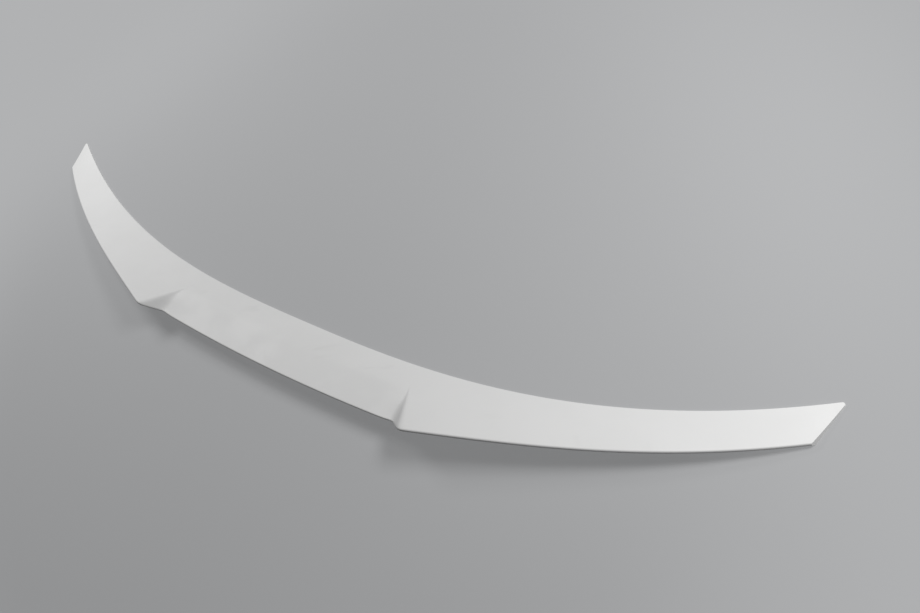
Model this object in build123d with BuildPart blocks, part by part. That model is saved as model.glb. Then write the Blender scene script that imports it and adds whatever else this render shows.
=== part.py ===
"""Boot-lid ducktail spoiler, moulded in one piece as a thin shell that is open underneath.

+X runs across the car, +Y to its front and +Z up, away from the boot lid. The origin is on the
car's centre line, in the middle of the front bonding land, on the plane that the rim is bonded to.
Lengths are in millimetres, angles in degrees.
"""
import os
from math import atan, cos, radians, sin, sqrt, tan

from build123d import *

# Front edge, where the skin meets the boot lid
width = 1204.0  # across both tips, before they are rounded
tip_sweep = 128.6  # tips forward of the middle
sweep_power = 2.71  # how late the edge turns forward
edge_thickness = 2.0
edge_radius = 0.8

# Full lip, from each step out to the tip
step_chord = 86.4  # front edge to the top corner of a step, before its nose is rounded
step_height = 49.9  # of that corner, before its nose is rounded
tip_height = 3.1
lip_taper = 0.88  # below 1 the lip stays high for longer on its way to the tip
wing_sweep = 161.9  # end of the lip forward of the step corner
wing_straightness = 0.725  # share of that sweep that is straight; the rest curls in near the tip
rear_rake = 34.0  # overhang of the rear face from upright
lip_radius = 2.0
nose_share = 0.5  # most of the lip's height that its nose takes up, near the tip

# Recess between the two steps
recess_half = 199.7  # foot of a step at the lip, from the centre line
step_run = 25.9  # top corner of a step outboard of its foot
apex_inset = 7.8  # front point of a step inboard of its foot
recess_chord = 74.8  # front edge to the lip of the recess, on the centre line
recess_height = 26.6
crease_set = 30.4  # crease behind the front edge
crease_fade = 12.0  # dip of the full lip in the middle, which flattens the crease there
step_radius = 1.2  # lip of the recess and upper edges of the steps
root_radius = 3.0  # floor of the recess into a step

# Ends
end_rake = 13.6  # end face from fore and aft, in plan
end_lean = 20.0  # end face from upright, wider at the boot lid
tip_radius = 2.0
tip_lead = 2.0  # turns the start of the tip's round out of the front edge, so that it runs across it

# Shell
wall = 3.0
land = 12.0  # front bonding land
solid_tip = 82.0  # length of each tip that isn't hollow

# Construction
beyond = 12.0  # how far the cutting tools, and the skins before they are cut, run past the finished part
middle_shares = (0, 0.5, 0.9)  # sections of the skin from the centre line to the foot of a step
wing_spans = 6  # between sections of the skin, from a step to the tip
core_spans = 6  # between sections of the hollow, from the centre line to its end

half_width = width / 2
step_x = recess_half + step_run
apex_x = recess_half - apex_inset
hollow_half = half_width - solid_tip
rake_slope = tan(radians(rear_rake))


def front_y(x):
    """Front edge in plan."""
    return land / 2 + tip_sweep * (abs(x) / half_width) ** sweep_power


def wing_z(x):
    """Height of the full lip along a wing."""
    left = max(0.0, (half_width - abs(x)) / (half_width - step_x))
    return tip_height + (step_height - tip_height) * left**lip_taper


def wing_y(x):
    """Full lip along a wing, in plan."""
    along = (abs(x) - step_x) / (half_width - step_x)
    curl = wing_straightness * along + (1 - wing_straightness) * along**3
    return front_y(step_x) - step_chord + wing_sweep * curl


def recess_y(x):
    """Lip of the recess in plan; it ends on the rear face of the wings."""
    middle = land / 2 - recess_chord
    side = wing_y(recess_half) + (wing_z(recess_half) - recess_height) * rake_slope
    return middle + (side - middle) * (x / recess_half) ** 2


def lip(x):
    """Full lip, as (y, z), as it would run without the recess."""
    if abs(x) > recess_half:
        return wing_y(x), wing_z(x)
    z = wing_z(recess_half) - crease_fade * (1 - (x / recess_half) ** 2) ** 2
    return recess_y(x) - (z - recess_height) * rake_slope, z


def rear_y(x, z):
    """Raked rear face at a height."""
    lip_y, lip_z = lip(x)
    return lip_y + (lip_z - z) * rake_slope


def top_slope(x):
    """Rise of the full top skin for each millimetre towards the lip."""
    y, z = lip(x)
    return (z - edge_thickness) / (front_y(x) - y)


def top_z(x, y):
    """Height of the full top skin."""
    return edge_thickness + top_slope(x) * (front_y(x) - y)


def crease(x):
    """Where the floor of the recess leaves the top skin, as (y, z)."""
    y = front_y(x) - crease_set
    return y, top_z(x, y)


def floor_z(x, y):
    """Height of the floor of the recess."""
    crease_y, crease_z = crease(x)
    share = (crease_y - y) / (crease_y - recess_y(x))
    return crease_z + (recess_height - crease_z) * share


def step_root(side):
    """Front and rear ends of the line where a step rises from the floor of the recess."""
    apex = Vector(side * apex_x, *crease(apex_x))
    foot = Vector(side * recess_half, recess_y(recess_half), recess_height)
    return apex, foot


def step_plane(side):
    """Plane of a step's facet, facing up and into the recess."""
    apex, foot = step_root(side)
    corner = Vector(side * step_x, *lip(step_x))
    normal = (foot - apex).cross(corner - apex) * side
    return Plane(origin=apex, x_dir=foot - apex, z_dir=normal)


def end_plane(side):
    """Plane of an end face, facing out from the tip."""
    tip = Vector(side * half_width, front_y(half_width), 0)
    along = Vector(side * -sin(radians(end_rake)), -cos(radians(end_rake)), 0)
    outward = Vector(side * cos(radians(end_rake)), -sin(radians(end_rake)), tan(radians(end_lean)))
    return Plane(origin=tip, x_dir=along, z_dir=outward)


def from_tip(side, angle, distance):
    """Point in plan, a distance from a tip and at an angle from square across the car."""
    return side * (half_width - distance * cos(angle)), front_y(half_width) - distance * sin(angle)


def tip_tool(side):
    """Prism outside the rounded front corner of a tip."""
    front_angle = atan(tip_sweep * sweep_power / half_width)
    end_angle = radians(90 - end_rake)
    half_corner = (end_angle - front_angle) / 2
    reach = tip_radius / tan(half_corner)
    depth = tip_radius / sin(half_corner) - tip_radius
    with BuildPart() as prism:
        with BuildSketch():
            with BuildLine():
                ThreePointArc(
                    from_tip(side, front_angle - radians(tip_lead), reach),
                    from_tip(side, front_angle + half_corner, depth),
                    from_tip(side, end_angle, reach),
                )
                Polyline(
                    from_tip(side, end_angle, reach),
                    from_tip(side, front_angle, -beyond),
                    from_tip(side, end_angle, -beyond),
                    from_tip(side, front_angle - radians(tip_lead), reach),
                )
            make_face()
        extrude(amount=beyond, both=True)
    return prism.part


def recess_tool(inset=0.0):
    """Solid above the floor of the recess and between its steps, moved into the skin by inset."""
    reach = step_x + beyond
    ceiling = step_height + beyond
    with BuildPart() as tool:
        for x in (-reach, -reach / 2, 0, reach / 2, reach):
            front = front_y(x) + beyond
            back = lip(x)[0] - beyond
            with BuildSketch(Plane.YZ.offset(x)):
                with BuildLine():
                    Polyline(
                        (front, floor_z(x, front) - inset),
                        (back, floor_z(x, back) - inset),
                        (back, ceiling),
                        (front, ceiling),
                        close=True,
                    )
                make_face()
        loft()
        for side in (1, -1):
            split(bisect_by=step_plane(side).offset(-inset), keep=Keep.TOP)
        for side in (1, -1):
            apex, foot = step_root(side)
            root = tool.edges().sort_by_distance((apex + foot) / 2)[0]
            fillet(root, radius=root_radius)
    return tool.part


def core():
    """Solid that hollows out the shell from below."""
    behind = wall / cos(radians(rear_rake))
    floor = recess_tool(wall)
    with BuildPart() as hollow:
        for k in range(-core_spans, core_spans + 1):
            x = hollow_half * k / core_spans
            under = wall * sqrt(1 + top_slope(x) ** 2)
            front = front_y(x) - land
            rear = rear_y(x, 0) + behind
            # the inner skins, parallel to the top and to the rear face, meet under the lip
            apex_z = (top_z(x, rear) - under) / (1 - top_slope(x) * rake_slope)
            with BuildSketch(Plane.YZ.offset(x)):
                with BuildLine():
                    Polyline(
                        (front, -beyond),
                        (front, top_z(x, front) - under),
                        (rear - apex_z * rake_slope, apex_z),
                        (rear, 0),
                        (rear, -beyond),
                        close=True,
                    )
                make_face()
        loft()
        add(floor, mode=Mode.SUBTRACT)
    return hollow.part


middle_stations = [recess_half * share for share in middle_shares]
wing_reach = half_width + beyond - step_x
wing_stations = [step_x + wing_reach * k / wing_spans for k in range(wing_spans + 1)]
half_stations = middle_stations + wing_stations
stations = [-x for x in reversed(half_stations[1:])] + half_stations

recess = recess_tool()
tip_rounds = [tip_tool(side) for side in (1, -1)]
hollow_core = core()

with BuildPart() as spoiler:
    for x in stations:
        nose = min(lip_radius, nose_share * lip(x)[1])
        with BuildSketch(Plane.YZ.offset(x)):
            with BuildLine():
                FilletPolyline(
                    (front_y(x), -beyond),
                    (front_y(x), edge_thickness),
                    lip(x),
                    (rear_y(x, -beyond), -beyond),
                    radius=(edge_radius, nose),
                )
                Line((rear_y(x, -beyond), -beyond), (front_y(x), -beyond))
            make_face()
    loft()
    split(bisect_by=Plane.XY, keep=Keep.TOP)
    add(recess, mode=Mode.SUBTRACT)
    # the fillet runs on from the lip of the recess, round the upper edges of both steps
    recess_lip = spoiler.edges().sort_by_distance((0, recess_y(0), recess_height))[0]
    fillet(recess_lip, radius=step_radius)
    for side in (1, -1):
        split(bisect_by=end_plane(side), keep=Keep.BOTTOM)
    add(tip_rounds, mode=Mode.SUBTRACT)
    add(hollow_core, mode=Mode.SUBTRACT)

os.makedirs("parts", exist_ok=True)
spoiler.part.label = "spoiler"
export_step(spoiler.part, "parts/spoiler.step")
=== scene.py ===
"""Builds the visible boot-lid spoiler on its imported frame, with its finish and a studio stage.

Lengths are in metres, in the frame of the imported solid: +X across the car, +Y to its front, +Z up.
"""

from math import atan, cos, hypot, pi, radians, sin, sqrt, tan

import bmesh
import bpy
from bpy.props import FloatProperty, FloatVectorProperty, PointerProperty
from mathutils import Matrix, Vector


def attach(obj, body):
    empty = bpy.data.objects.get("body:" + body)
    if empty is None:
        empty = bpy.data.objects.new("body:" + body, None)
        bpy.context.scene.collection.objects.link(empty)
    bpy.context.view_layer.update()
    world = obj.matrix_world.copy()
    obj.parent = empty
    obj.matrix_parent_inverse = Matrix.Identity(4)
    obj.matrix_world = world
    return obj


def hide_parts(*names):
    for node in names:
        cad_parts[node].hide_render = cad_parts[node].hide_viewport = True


bl_info = {
    "name": "Boot-lid spoiler",
    "version": (1, 0, 0),
    "blender": (4, 5, 0),
    "location": "View3D > Sidebar > Spoiler",
    "description": "An unpainted ducktail spoiler on its packed frame, with finish and studio stage",
    "category": "Object",
}

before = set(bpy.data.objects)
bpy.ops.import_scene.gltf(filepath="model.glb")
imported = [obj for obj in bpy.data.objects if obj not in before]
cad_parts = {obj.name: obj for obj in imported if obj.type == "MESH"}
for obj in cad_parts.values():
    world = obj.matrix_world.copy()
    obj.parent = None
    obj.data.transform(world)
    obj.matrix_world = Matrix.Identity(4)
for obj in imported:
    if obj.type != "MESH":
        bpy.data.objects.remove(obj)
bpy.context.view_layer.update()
NODE = "spoiler"
BODY = "root"
HALF_GRID = 0.5  # half of the grid's width, before it is laid over the sections
MERGE_DISTANCE = 1e-6
SHARP_ANGLE = radians(32)  # edges that turn further than this stay sharp
NEAR_CLIP = 0.01  # nearest that the camera sees


def length(name, description, default):
    """A length in metres."""
    return FloatProperty(
        name=name, description=description, default=default, unit="LENGTH", precision=4
    )


def angle(name, description, default):
    """An angle, written here in degrees."""
    return FloatProperty(name=name, description=description, default=radians(default), subtype="ANGLE")


def number(name, description, default):
    """A plain number."""
    return FloatProperty(name=name, description=description, default=default)


def colour(name, description, default):
    """A linear colour."""
    return FloatVectorProperty(
        name=name, description=description, default=default, subtype="COLOR", size=3
    )


def place(name, description, default):
    """A point in the frame."""
    return FloatVectorProperty(
        name=name, description=description, default=default, subtype="TRANSLATION", size=3
    )


class SpoilerSizes(bpy.types.PropertyGroup):
    """Sizes of the shell: the solid's, with softer edges and a finer shape of the steps."""

    width: length("Width", "Across both tips, before they are rounded", 1.204)
    tip_sweep: length("Tip sweep", "Tips forward of the middle, along the front edge", 0.1286)
    sweep_power: number("Sweep power", "How late the front edge turns forward", 2.71)
    edge_thickness: length("Edge thickness", "Height of the front edge", 0.002)
    edge_radius: length("Edge radius", "Round on top of the front edge", 0.0008)
    step_chord: length("Step chord", "Front edge to the top corner of a step", 0.0864)
    step_height: length("Step height", "Height of the top corner of a step", 0.0499)
    tip_height: length("Tip height", "Height of the lip at the tip", 0.0031)
    lip_taper: number("Lip taper", "Below 1 the lip stays high for longer", 0.88)
    wing_sweep: length("Wing sweep", "End of the lip forward of the step corner", 0.1619)
    wing_straightness: number("Wing straightness", "Share of the wing's sweep that is straight", 0.725)
    rear_rake: angle("Rear rake", "Overhang of the rear face from upright", 34)
    lip_radius: length("Lip radius", "Nose of the full lip", 0.002)
    recess_half: length("Recess half", "Foot of a step from the centre line", 0.1997)
    step_run: length("Step run", "Top corner of a step outboard of its foot", 0.0284)
    apex_inset: length("Apex inset", "Front point of a step inboard of its foot", 0.0078)
    recess_chord: length("Recess chord", "Front edge to the lip of the recess", 0.0748)
    recess_height: length("Recess height", "Height of the lip of the recess", 0.0266)
    recess_radius: length("Recess radius", "Nose of the lip of the recess", 0.0014)
    crease_set: length("Crease set", "Crease behind the front edge", 0.0304)
    crease_fade: length("Crease fade", "Dip of the full lip in the middle", 0.012)
    crease_blend: length("Crease blend", "Height over which the crease is eased", 0.0014)
    ridge_blend: length("Ridge blend", "Height over which the upper edge of a step is eased", 0.005)
    root_blend: length("Root blend", "Height over which the root of a step is eased at the lip", 0.004)
    apex_blend: length("Apex blend", "Height over which that root is eased at its front point", 0.012)
    swell: number("Swell", "Share of its depth that the recess loses at the front point of a step", 0.8)
    swell_reach: length("Swell reach", "How far the swell of the floor runs in from a step", 0.05)
    steepening: number("Steepening", "How much steeper a step grows towards its front point", 0.2)
    rear_blend: length("Rear blend", "Depth over which the rear face turns from recess to wing", 0.004)
    end_rake: angle("End rake", "End face from fore and aft, in plan", 13.6)
    end_lean: angle("End lean", "End face from upright", 20)
    tip_radius: length("Tip radius", "Round of the front corner of a tip, in plan", 0.0026)
    wall: length("Wall", "Thickness of the shell", 0.003)
    land: length("Land", "Width of the front bonding land", 0.012)
    solid_tip: length("Solid tip", "Length of each tip that isn't hollow", 0.082)


class SpoilerFinish(bpy.types.PropertyGroup):
    """Colours and gloss of the shell."""

    coat: colour("Coat", "White primer coat", (0.77, 0.77, 0.766))
    coat_shade: colour("Coat shade", "Primer coat where it lies thinner", (0.756, 0.756, 0.752))
    coat_roughness: number("Coat roughness", "Roughness of the primer coat", 0.55)
    roughness_spread: number("Roughness spread", "How far the roughness strays either way", 0.03)
    scuff: colour("Scuff", "Handling marks on the coat", (0.5, 0.5, 0.49))
    scuff_strength: number("Scuff strength", "How strongly the handling marks show", 0.11)
    scuff_turns: FloatVectorProperty(
        name="Scuff turns",
        description="Ways the handling marks run, from across the car",
        default=(radians(38), radians(-52)),
        subtype="EULER",
        size=2,
    )
    backing: colour("Backing", "Resin on the inside of the shell", (0.58, 0.565, 0.52))
    strand: colour("Strand", "Glass strands that show in the resin", (0.7, 0.69, 0.65))
    backing_roughness: number("Backing roughness", "Roughness of the inside", 0.72)


class SpoilerStage(bpy.types.PropertyGroup):
    """Floor, lights and camera."""

    floor: colour("Floor", "Plain pale floor", (0.42, 0.424, 0.432))
    floor_roughness: number("Floor roughness", "Roughness of the floor's paint", 0.9)
    backdrop: colour(
        "Backdrop", "Seen behind the floor, which it also evens out", (0.44, 0.445, 0.452)
    )
    floor_evenness: number("Floor evenness", "Share of the backdrop in the floor under the part", 0.45)
    floor_near: length("Floor near", "Where the floor starts to fade into the backdrop", 0.45)
    floor_far: length("Floor far", "Where the floor has faded into the backdrop", 0.85)
    floor_size: length("Floor size", "Across the square floor", 12)
    sky: number("Sky", "Strength of the even light from all round", 0.015)
    right_lamp: place("Right lamp", "Centre of the soft light over the right tip", (0.84, 0.655, 0.9))
    right_power: number("Right power", "Power of the right lamp, in watts", 14.8)
    left_lamp: place("Left lamp", "Centre of the soft light over the left tip", (-0.85, 0.4, 0.9))
    left_power: number("Left power", "Power of the left lamp, in watts", 9.1)
    lamp_size: length("Lamp size", "Across each square lamp", 0.5)
    camera: place("Camera", "Where the camera stands", (0.7376, -0.1456, 0.8229))
    camera_tilt: angle("Camera tilt", "The camera's turn about X", 28.61)
    camera_lean: angle("Camera lean", "The camera's turn about Y", 23.04)
    camera_heading: angle("Camera heading", "The camera's turn about Z", 30.97)
    focal_length: number("Focal length", "In millimetres, on a sensor 36 mm wide", 35.217)


def mix(a, b, t):
    """What lies a share t of the way from a to b."""
    return a + (b - a) * t


def within(value):
    """A value held between 0 and 1."""
    return min(1.0, max(0.0, value))


def eased_min(a, b, blend):
    """The lower of two heights, eased where they cross."""
    near = max(blend - abs(a - b), 0.0)
    return min(a, b) - near * near / (4 * blend)


def eased_max(a, b, blend):
    """The higher of two heights, eased where they cross."""
    return -eased_min(-a, -b, blend)


def rounded(corner, before, after, radius, count):
    """Points on the round of a corner, from the line along before to the line along after."""
    back, ahead = before.normalized(), after.normalized()
    bisector = (back + ahead).normalized()
    sine = sqrt((1 - back.dot(ahead)) / 2)
    reach = radius * bisector.dot(back) / sine
    centre = corner + bisector * (radius / sine)
    start, end = corner + back * reach - centre, corner + ahead * reach - centre
    return [centre + start.slerp(end, k / (count - 1)) * radius for k in range(count)]


class ShellShape:
    """Works out the skins of the right-hand half of the shell from its sizes."""

    # rows of a section: round the front edge and the lip, and their shares of each stretch between
    edge_rows = 4
    nose_rows = 8
    front_shares = (0.06, 0.3, 0.5, 0.64, 0.76, 0.86, 0.94)
    floor_shares = (0.0, 0.05, 0.11, 0.18, 0.27, 0.4, 0.55, 0.7, 0.83, 0.92, 0.975)
    rear_shares = (0.04, 0.3, 0.65, 1.0)
    inner_shares = (0.0, 0.35, 0.7, 1.0)

    # columns of sections: in the recess, over a step, along the wing and over the solid tip
    recess_columns = 30
    step_shares = (0.0, 0.03, 0.07, 0.12, 0.2, 0.34, 0.5, 0.64, 0.75, 0.83, 0.89, 0.94, 0.975)
    wing_columns = 46
    tip_columns = 12
    crowding = 1.6  # how much closer the columns lie near a step
    apex_lead = 0.0015  # first column of a step inboard of its front point
    apex_trail = 0.003  # last column of a step outboard of its front point
    foot_margin = 0.0006  # first column of a step inboard of its foot at the lip, outboard at the rear
    lip_share = 0.88  # last column of a step at the lip, from its front point to its corner
    rear_share = 0.72  # last column of a step on the rear face, from its foot to its corner

    tip_cuts = 8  # planes that round the front corner of a tip
    tip_length = 0.06  # what those planes may cut
    overrun = 0.012  # how far the sections run past the tip, and a step's shape past its corner
    probe = 0.008  # how far ahead of the lip the slope of the skin is taken
    least_ease = 0.0002  # ease of the root where the recess has no depth
    least_back = 0.1  # share of the way to the lip within which a step grows no steeper
    settle_turns = 30  # rounds in which a point under the lip settles

    def __init__(self, sizes):
        self.sizes = sizes
        self.half = sizes.width / 2
        self.step_x = sizes.recess_half + sizes.step_run
        self.apex_x = sizes.recess_half - sizes.apex_inset
        self.tip_from = self.half - self.tip_length
        self.rake = tan(sizes.rear_rake)
        self.apex = Vector((self.apex_x, *self.crease(self.apex_x)))
        foot = Vector((sizes.recess_half, self.recess_y(sizes.recess_half), sizes.recess_height))
        corner = Vector((self.step_x, *self.full_lip(self.step_x)))
        self.facet = (foot - self.apex).cross(corner - self.apex)

    def front_y(self, x):
        """Front edge in plan."""
        s = self.sizes
        return s.land / 2 + s.tip_sweep * (x / self.half) ** s.sweep_power

    def wing_z(self, x):
        """Height of the full lip along the wing."""
        s = self.sizes
        left = max(0.0, (self.half - x) / (self.half - self.step_x))
        return mix(s.tip_height, s.step_height, left**s.lip_taper)

    def wing_y(self, x):
        """Full lip along the wing, in plan."""
        s = self.sizes
        along = (x - self.step_x) / (self.half - self.step_x)
        forward = s.wing_sweep * mix(along**3, along, s.wing_straightness)
        return self.front_y(self.step_x) - s.step_chord + forward

    def recess_y(self, x):
        """Lip of the recess in plan; it ends on the rear face of the wing."""
        s = self.sizes
        side = self.wing_y(s.recess_half) + (self.wing_z(s.recess_half) - s.recess_height) * self.rake
        return mix(s.land / 2 - s.recess_chord, side, (x / s.recess_half) ** 2)

    def rear_y(self, x, z):
        """Raked rear face at a height, which turns gently from the recess to the wing."""
        s = self.sizes
        recess = self.recess_y(x) + (s.recess_height - z) * self.rake
        wing = self.wing_y(x) + (self.wing_z(x) - z) * self.rake
        return eased_max(recess, wing, s.rear_blend)

    def full_lip(self, x):
        """The lip, as (y, z), as it would run without the recess."""
        s = self.sizes
        z = self.wing_z(max(x, s.recess_half))
        if x < s.recess_half:
            z -= s.crease_fade * (1 - (x / s.recess_half) ** 2) ** 2
        return self.rear_y(x, z), z

    def full_slope(self, x):
        """Rise of the full top skin towards the lip."""
        lip_y, lip_z = self.full_lip(x)
        return (lip_z - self.sizes.edge_thickness) / (self.front_y(x) - lip_y)

    def full_z(self, x, y):
        """Height of the top skin as it would be without the recess."""
        return self.sizes.edge_thickness + self.full_slope(x) * (self.front_y(x) - y)

    def crease(self, x):
        """Where the floor of the recess leaves the top skin, as (y, z)."""
        y = self.front_y(x) - self.sizes.crease_set
        return y, self.full_z(x, y)

    def back_share(self, x, y):
        """Share of the way back from the crease to the lip of the recess."""
        crease_y = self.front_y(x) - self.sizes.crease_set
        return (crease_y - y) / (crease_y - self.recess_y(x))

    def floor_z(self, x, y):
        """Height of the floor of the recess, before it swells."""
        return mix(self.crease(x)[1], self.sizes.recess_height, self.back_share(x, y))

    def facet_z(self, x, y):
        """Height of the plane of the step, before it grows steeper."""
        normal = self.facet
        return self.apex.z - (normal.x * (x - self.apex.x) + normal.y * (y - self.apex.y)) / normal.z

    def top_z(self, x, y):
        """Height of the finished top skin."""
        s = self.sizes
        if x > self.step_x + self.overrun:
            return self.full_z(x, y)
        full, floor = self.full_z(x, y), self.floor_z(x, y)
        back = within(self.back_share(x, y))
        # towards its front point the step grows steeper, and the floor swells up to meet it
        near = within(1 - (self.apex_x - x) / s.swell_reach) ** 2
        floor = mix(floor, full, s.swell * near * (1 - back) ** 2)
        facet = mix(full, self.facet_z(x, y), max(back, self.least_back) ** -s.steepening)
        # the ease of the root stays below the upper edge, which keeps that edge straight
        root_ease = min(mix(s.apex_blend, s.root_blend, back), max(full - floor, self.least_ease))
        cut = eased_max(floor, facet, root_ease)
        out = within((x - self.apex_x) / (self.step_x - self.apex_x))
        return eased_min(full, cut, mix(s.crease_blend, s.ridge_blend, sqrt(out)))

    def under_lip(self, x, rear, depth):
        """Where the top skin, lowered by a depth, meets a raked line up from the rear, as (y, z)."""
        z = 0.0
        for _ in range(self.settle_turns):
            z = self.top_z(x, rear - z * self.rake) - depth
        return Vector((rear - z * self.rake, z))

    def nose(self, x):
        """Points round the lip, from the top skin to the rear face, as (y, z)."""
        s = self.sizes
        corner = self.under_lip(x, self.rear_y(x, 0), 0)
        ahead = corner.x + self.probe
        top = Vector((ahead, self.top_z(x, ahead))) - corner
        radius = mix(s.recess_radius, s.lip_radius, within((x - s.recess_half) / s.step_run))
        down_rear = Vector((self.rake, -1.0))
        return rounded(corner, top, down_rear, min(radius, corner.y / 2), self.nose_rows)

    def outside(self, front_x, lip_x, rear_x):
        """Points over the outside of a section, from the front edge to the rear foot."""
        s = self.sizes
        front = self.front_y(front_x)
        crease_y = front - s.crease_set
        edge = Vector((front, s.edge_thickness))
        rows = [Vector((front_x, front, 0.0))]
        up_skin = Vector((-1.0, self.full_slope(front_x)))
        for y, z in rounded(edge, Vector((0.0, -1.0)), up_skin, s.edge_radius, self.edge_rows):
            rows.append(Vector((front_x, y, z)))
        edge_y = rows[-1].y
        for t in self.front_shares:
            y = mix(edge_y, crease_y, t)
            rows.append(Vector((front_x, y, self.top_z(front_x, y))))
        nose_y = self.nose(lip_x)[0].x
        for t in self.floor_shares:
            x, y = mix(front_x, lip_x, t), mix(crease_y, nose_y, t)
            rows.append(Vector((x, y, self.top_z(x, y))))
        for k in range(self.nose_rows):
            x = mix(lip_x, rear_x, k / (self.nose_rows - 1))
            rows.append(Vector((x, *self.nose(x)[k])))
        nose_z = rows[-1].z
        for t in self.rear_shares:
            z = nose_z * (1 - t)
            rows.append(Vector((rear_x, self.rear_y(rear_x, z), z)))
        return rows

    def inside(self, front_x, rear_x, hollow):
        """Points over the inside of a section, from the rear wall to the front land."""
        s = self.sizes
        under = s.wall * hypot(1, self.full_slope(rear_x))
        foot = Vector((rear_x, self.rear_y(rear_x, 0) + s.wall / cos(s.rear_rake), 0.0))
        land = Vector((front_x, self.front_y(front_x) - s.land, 0.0))
        crease_y = self.front_y(front_x) - s.crease_set
        apex = Vector((rear_x, *self.under_lip(rear_x, foot.y, under)))
        rows = [mix(foot, apex, t) for t in self.inner_shares]
        for start_x, start_y, end_y in ((rear_x, apex.y, crease_y), (front_x, crease_y, land.y)):
            for t in self.inner_shares[1:]:
                x, y = mix(start_x, front_x, t), mix(start_y, end_y, t)
                rows.append(Vector((x, y, self.top_z(x, y) - under)))
        if not hollow:
            rows = [mix(foot, land, k / len(rows)) for k in range(len(rows))]
        return rows + [land]

    def columns(self):
        """The front, lip and rear places of each section, and whether it is hollow there."""
        s = self.sizes
        end, foot = self.half + self.overrun, s.recess_half
        ridge_lip = mix(self.apex_x, self.step_x, self.lip_share)
        middle = Vector((0.0, 0.0, 0.0))
        root = Vector((self.apex_x - self.apex_lead, foot - self.foot_margin, foot + self.foot_margin))
        ridge = Vector((self.apex_x + self.apex_trail, ridge_lip, foot + self.rear_share * s.step_run))
        tip = Vector((end, end, end))
        hollow_end = (self.half - s.solid_tip - ridge.x) / (tip.x - ridge.x)
        inward = [1 - k / self.recess_columns for k in range(self.recess_columns)]
        outward = [k / self.wing_columns for k in range(self.wing_columns + 1)]
        recess = [1 - t**self.crowding for t in inward]
        wing = [t**self.crowding * hollow_end for t in outward]
        solid = [mix(hollow_end, 1.0, k / self.tip_columns) for k in range(self.tip_columns + 1)]
        spans = (
            (middle, root, recess, True),
            (root, ridge, self.step_shares, True),
            (ridge, tip, wing, True),
            (ridge, tip, solid, False),
        )
        return [(*mix(start, stop, t), hollow) for start, stop, shares, hollow in spans for t in shares]

    def sections(self):
        """Closed sections from the centre line to beyond the tip."""
        return [
            self.outside(front_x, lip_x, rear_x) + self.inside(front_x, rear_x, hollow)
            for front_x, lip_x, rear_x, hollow in self.columns()
        ]

    def end_cuts(self):
        """Points and normals of the planes that trim the end and round its front corner in plan."""
        s = self.sizes
        front_turn = atan(s.tip_sweep * s.sweep_power / self.half) + pi / 2
        half_corner = (pi - front_turn - s.end_rake) / 2
        tip = Vector((self.half, self.front_y(self.half), 0.0))
        inward = (front_turn - s.end_rake) / 2 + pi
        centre = tip + Vector((cos(inward), sin(inward), 0.0)) * (s.tip_radius / sin(half_corner))
        cuts = []
        for k in range(self.tip_cuts + 1, 0, -1):
            share = k / (self.tip_cuts + 1)
            turn = mix(front_turn, -s.end_rake, share)
            across = Vector((cos(turn), sin(turn), 0.0))
            lean = Vector((0.0, 0.0, tan(s.end_lean) * share))
            cuts.append((centre + across * s.tip_radius, across + lean))
        return cuts


def add_node(tree, kind, **settings):
    """Adds a shader node with some of its settings."""
    node = tree.nodes.new(kind)
    for name, value in settings.items():
        setattr(node, name, value)
    return node


def add_noise(tree, scale, detail, stretch=(1, 1, 1), turn=0.0):
    """Adds noise in the object's own space, turned about Z and stretched; gives its output."""
    coords = add_node(tree, "ShaderNodeTexCoord")
    mapping = add_node(tree, "ShaderNodeMapping", vector_type="TEXTURE")
    mapping.inputs["Rotation"].default_value = (0.0, 0.0, turn)
    mapping.inputs["Scale"].default_value = stretch
    noise = add_node(tree, "ShaderNodeTexNoise")
    noise.inputs["Scale"].default_value = scale
    noise.inputs["Detail"].default_value = detail
    tree.links.new(coords.outputs["Object"], mapping.inputs["Vector"])
    tree.links.new(mapping.outputs["Vector"], noise.inputs["Vector"])
    return noise.outputs["Fac"]


def add_range(tree, value, low, high, to_low=0.0, to_high=1.0):
    """Adds a smooth step of a value and gives its output."""
    step = add_node(tree, "ShaderNodeMapRange", interpolation_type="SMOOTHSTEP")
    ends = {"From Min": low, "From Max": high, "To Min": to_low, "To Max": to_high}
    for name, end in ends.items():
        step.inputs[name].default_value = end
    tree.links.new(value, step.inputs["Value"])
    return step.outputs["Result"]


def add_math(tree, operation, a, b):
    """Adds an operation on two values and gives its output."""
    result = add_node(tree, "ShaderNodeMath", operation=operation)
    tree.links.new(a, result.inputs[0])
    tree.links.new(b, result.inputs[1])
    return result.outputs["Value"]


def add_colours(tree, share, first, second):
    """Adds a mix of two colours and gives its output; each is a colour or an output."""
    blend = add_node(tree, "ShaderNodeMix", data_type="RGBA")
    tree.links.new(share, blend.inputs["Factor"])
    for name, source in (("A", first), ("B", second)):
        socket = next(i for i in blend.inputs if i.name == name and i.type == "RGBA")
        if isinstance(source, bpy.types.NodeSocket):
            tree.links.new(source, socket)
        else:
            socket.default_value = (*source, 1.0)
    return blend.outputs["Result"]


def add_bump(tree, shader, height, distance, strength):
    """Adds a bump of a height to a shader."""
    bump = add_node(tree, "ShaderNodeBump")
    bump.inputs["Distance"].default_value = distance
    bump.inputs["Strength"].default_value = strength
    tree.links.new(height, bump.inputs["Height"])
    tree.links.new(bump.outputs["Normal"], shader.inputs["Normal"])


def new_material(name):
    """Makes a material and gives it with its node tree and shader."""
    material = bpy.data.materials.new(name)
    material.use_nodes = True
    return material, material.node_tree, material.node_tree.nodes["Principled BSDF"]


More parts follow.
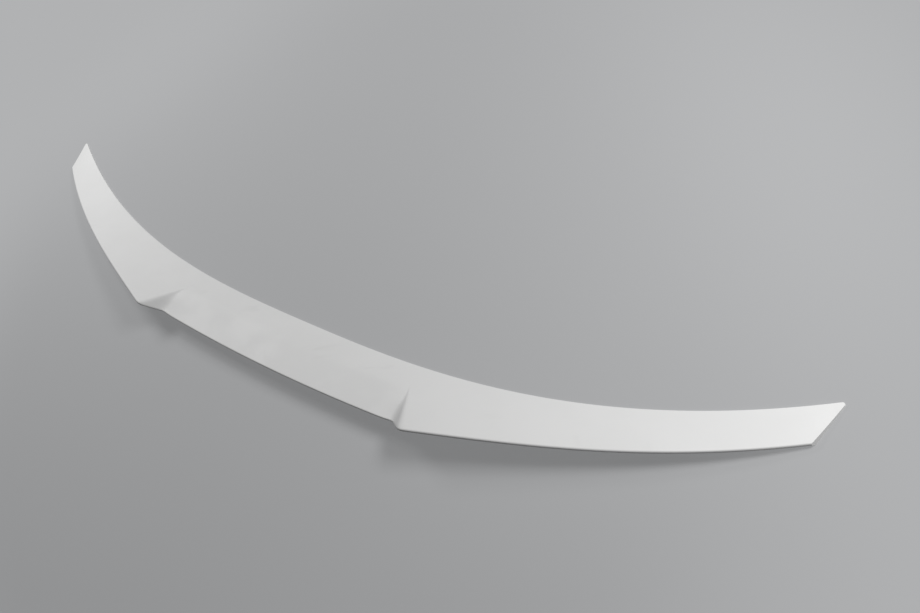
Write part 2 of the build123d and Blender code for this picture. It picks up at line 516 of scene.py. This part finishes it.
def coat_material(finish):
    """Satin white primer with a faint cloud, fine peel and a few handling marks."""
    material, tree, shader = new_material("primer_coat")
    mist = add_noise(tree, scale=20.0, detail=4.0)
    cloud = add_range(tree, mist, low=0.35, high=0.65)
    base = add_colours(tree, cloud, finish.coat, finish.coat_shade)
    for turn in finish.scuff_turns:
        streaks = add_noise(tree, scale=60.0, detail=3.0, stretch=(5, 1, 1), turn=turn)
        marks = add_range(tree, streaks, low=0.6, high=0.72)
        spots = add_noise(tree, scale=14.0, detail=1.0, turn=turn)
        patches = add_range(tree, spots, low=0.52, high=0.7, to_high=finish.scuff_strength)
        base = add_colours(tree, add_math(tree, "MULTIPLY", marks, patches), base, finish.scuff)
    tree.links.new(base, shader.inputs["Base Color"])
    smoothest = finish.coat_roughness - finish.roughness_spread
    roughest = finish.coat_roughness + finish.roughness_spread
    gloss = add_range(tree, cloud, low=0.0, high=1.0, to_low=smoothest, to_high=roughest)
    tree.links.new(gloss, shader.inputs["Roughness"])
    peel = add_noise(tree, scale=420.0, detail=3.0)
    add_bump(tree, shader, peel, distance=0.00008, strength=0.5)
    return material


def backing_material(finish):
    """Rough resin with strands running both ways through it."""
    material, tree, shader = new_material("resin_backing")
    base = finish.backing
    for stretch in ((8, 1, 1), (1, 8, 1)):
        fibres = add_noise(tree, scale=420.0, detail=2.0, stretch=stretch)
        strands = add_range(tree, fibres, low=0.5, high=0.62)
        base = add_colours(tree, strands, base, finish.strand)
    tree.links.new(base, shader.inputs["Base Color"])
    shader.inputs["Roughness"].default_value = finish.backing_roughness
    lumps = add_noise(tree, scale=260.0, detail=4.0)
    add_bump(tree, shader, lumps, distance=0.0004, strength=0.8)
    return material


def build_shell(sizes):
    """The shell's mesh: a grid laid over the right half, closed under, trimmed and mirrored."""
    shape = ShellShape(sizes)
    sections = shape.sections()
    columns, rows = len(sections) - 1, len(sections[0])
    inside_from = len(shape.outside(0.0, 0.0, 0.0))
    bm = bmesh.new()
    bmesh.ops.create_grid(bm, x_segments=columns, y_segments=rows, size=HALF_GRID)
    for face in bm.faces:
        row = (face.calc_center_median().y + HALF_GRID) * rows
        face.material_index = int(inside_from < row < rows - 1)
    for vert in bm.verts:
        column = round((vert.co.x + HALF_GRID) * columns)
        row = round((vert.co.y + HALF_GRID) * rows)
        # the last row lies on the first, which closes the section
        vert.co = sections[column][row % rows]
    bmesh.ops.remove_doubles(bm, verts=bm.verts, dist=MERGE_DISTANCE)
    for point, normal in shape.end_cuts():
        tip = [vert for vert in bm.verts if vert.co.x > shape.tip_from]
        reach = set(tip)
        near = [item for item in bm.edges[:] + bm.faces[:] if reach.issuperset(item.verts)]
        cut = bmesh.ops.bisect_plane(
            bm, geom=tip + near, plane_co=point, plane_no=normal, clear_outer=True
        )
        rim = [item for item in cut["geom_cut"] if isinstance(item, bmesh.types.BMEdge)]
        bmesh.ops.holes_fill(bm, edges=rim, sides=0)
    half = bm.verts[:] + bm.edges[:] + bm.faces[:]
    bmesh.ops.mirror(bm, geom=half, axis="X", merge_dist=MERGE_DISTANCE)
    bmesh.ops.remove_doubles(bm, verts=bm.verts, dist=MERGE_DISTANCE)
    bmesh.ops.recalc_face_normals(bm, faces=bm.faces)
    for face in bm.faces:
        face.smooth = True
    for edge in bm.edges:
        edge.smooth = edge.calc_face_angle(0.0) < SHARP_ANGLE
    mesh = bpy.data.meshes.new("spoiler_shell")
    bm.to_mesh(mesh)
    bm.free()
    return mesh


class SPOILER_OT_shell(bpy.types.Operator):
    """Builds the shell with its finish"""

    bl_idname = "spoiler.shell"
    bl_label = "Shell"

    def execute(self, context):
        mesh = build_shell(context.scene.spoiler_sizes)
        finish = context.scene.spoiler_finish
        mesh.materials.append(coat_material(finish))
        mesh.materials.append(backing_material(finish))
        shell = bpy.data.objects.new("spoiler_shell", mesh)
        context.scene.collection.objects.link(shell)
        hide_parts(NODE)
        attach(shell, BODY)
        return {"FINISHED"}


def add_lamp(scene, name, location, power, size):
    """Adds a square soft light that faces down."""
    lamp = bpy.data.lights.new(name, "AREA")
    lamp.energy = power
    lamp.size = size
    holder = bpy.data.objects.new(name, lamp)
    holder.location = location
    scene.collection.objects.link(holder)


def show_in_view(tree, output, lit, seen, share=None):
    """Shows another shader, or a share of it, to camera, glossy and transmission rays."""
    rays = add_node(tree, "ShaderNodeLightPath").outputs
    amount = rays["Is Camera Ray"]
    for kind in ("Is Glossy Ray", "Is Transmission Ray"):
        amount = add_math(tree, "ADD", amount, rays[kind])
    if share is not None:
        amount = add_math(tree, "MULTIPLY", amount, share)
    blend = add_node(tree, "ShaderNodeMixShader")
    tree.links.new(amount, blend.inputs["Fac"])
    tree.links.new(lit.outputs[0], blend.inputs[1])
    tree.links.new(seen.outputs[0], blend.inputs[2])
    tree.links.new(blend.outputs["Shader"], tree.nodes[output].inputs["Surface"])


def studio_world(stage):
    """Faint, even light from all round, with a plain backdrop in view."""
    world = bpy.data.worlds.new("studio")
    world.use_nodes = True
    sky = world.node_tree.nodes["Background"]
    sky.inputs["Strength"].default_value = stage.sky
    sky.inputs["Color"].default_value = (1.0, 1.0, 1.0, 1.0)
    backdrop = add_node(world.node_tree, "ShaderNodeBackground")
    backdrop.inputs["Color"].default_value = (*stage.backdrop, 1.0)
    show_in_view(world.node_tree, "World Output", sky, backdrop)
    return world


def floor_material(stage):
    """Plain paint, evened out in view by the backdrop and fading into it further out."""
    material, tree, shader = new_material("floor_paint")
    shader.inputs["Base Color"].default_value = (*stage.floor, 1.0)
    shader.inputs["Roughness"].default_value = stage.floor_roughness
    even = add_node(tree, "ShaderNodeEmission")
    even.inputs["Color"].default_value = (*stage.backdrop, 1.0)
    coords = add_node(tree, "ShaderNodeTexCoord")
    reach = add_node(tree, "ShaderNodeVectorMath", operation="LENGTH")
    tree.links.new(coords.outputs["Object"], reach.inputs[0])
    distance = reach.outputs["Value"]
    share = add_range(tree, distance, stage.floor_near, stage.floor_far, stage.floor_evenness)
    show_in_view(tree, "Material Output", shader, even, share)
    return material


def add_floor(scene, stage):
    """Adds the square floor."""
    mesh = bpy.data.meshes.new("floor")
    bm = bmesh.new()
    bmesh.ops.create_grid(bm, x_segments=1, y_segments=1, size=stage.floor_size / 2)
    bm.to_mesh(mesh)
    bm.free()
    mesh.materials.append(floor_material(stage))
    floor = bpy.data.objects.new("floor", mesh)
    scene.collection.objects.link(floor)


def add_camera(scene, stage):
    """Adds the camera, at the photograph's viewing angle."""
    camera = bpy.data.objects.new("camera", bpy.data.cameras.new("camera"))
    camera.data.lens = stage.focal_length
    camera.data.clip_start = NEAR_CLIP
    camera.location = stage.camera
    camera.rotation_euler = (stage.camera_tilt, stage.camera_lean, stage.camera_heading)
    scene.collection.objects.link(camera)
    scene.camera = camera


class SPOILER_OT_stage(bpy.types.Operator):
    """Lays the floor and sets up the lights and the camera"""

    bl_idname = "spoiler.stage"
    bl_label = "Stage"

    def execute(self, context):
        scene = context.scene
        stage = scene.spoiler_stage
        scene.view_settings.view_transform = "Standard"
        scene.world = studio_world(stage)
        add_floor(scene, stage)
        add_lamp(scene, "right_lamp", stage.right_lamp, stage.right_power, stage.lamp_size)
        add_lamp(scene, "left_lamp", stage.left_lamp, stage.left_power, stage.lamp_size)
        add_camera(scene, stage)
        return {"FINISHED"}


class SPOILER_PT_panel(bpy.types.Panel):
    """Sizes, colours and steps of the spoiler"""

    bl_idname = "SPOILER_PT_panel"
    bl_label = "Boot-lid spoiler"
    bl_space_type = "VIEW_3D"
    bl_region_type = "UI"
    bl_category = "Spoiler"

    def draw(self, context):
        scene = context.scene
        for step, group in (
            (SPOILER_OT_shell, scene.spoiler_sizes),
            (None, scene.spoiler_finish),
            (SPOILER_OT_stage, scene.spoiler_stage),
        ):
            box = self.layout.box()
            for name in group.__annotations__:
                box.prop(group, name)
            if step:
                box.operator(step.bl_idname)


CLASSES = (
    SpoilerSizes,
    SpoilerFinish,
    SpoilerStage,
    SPOILER_OT_shell,
    SPOILER_OT_stage,
    SPOILER_PT_panel,
)


def register():
    """Registers the classes and hangs the settings on the scene."""
    for cls in CLASSES:
        bpy.utils.register_class(cls)
    bpy.types.Scene.spoiler_sizes = PointerProperty(type=SpoilerSizes)
    bpy.types.Scene.spoiler_finish = PointerProperty(type=SpoilerFinish)
    bpy.types.Scene.spoiler_stage = PointerProperty(type=SpoilerStage)


def unregister():
    """Takes the settings and the classes away again."""
    del bpy.types.Scene.spoiler_stage
    del bpy.types.Scene.spoiler_finish
    del bpy.types.Scene.spoiler_sizes
    for cls in reversed(CLASSES):
        bpy.utils.unregister_class(cls)


def main():
    """Builds the spoiler and its stage."""
    register()
    bpy.ops.spoiler.shell()
    bpy.ops.spoiler.stage()


if __name__ == "__main__":
    main()
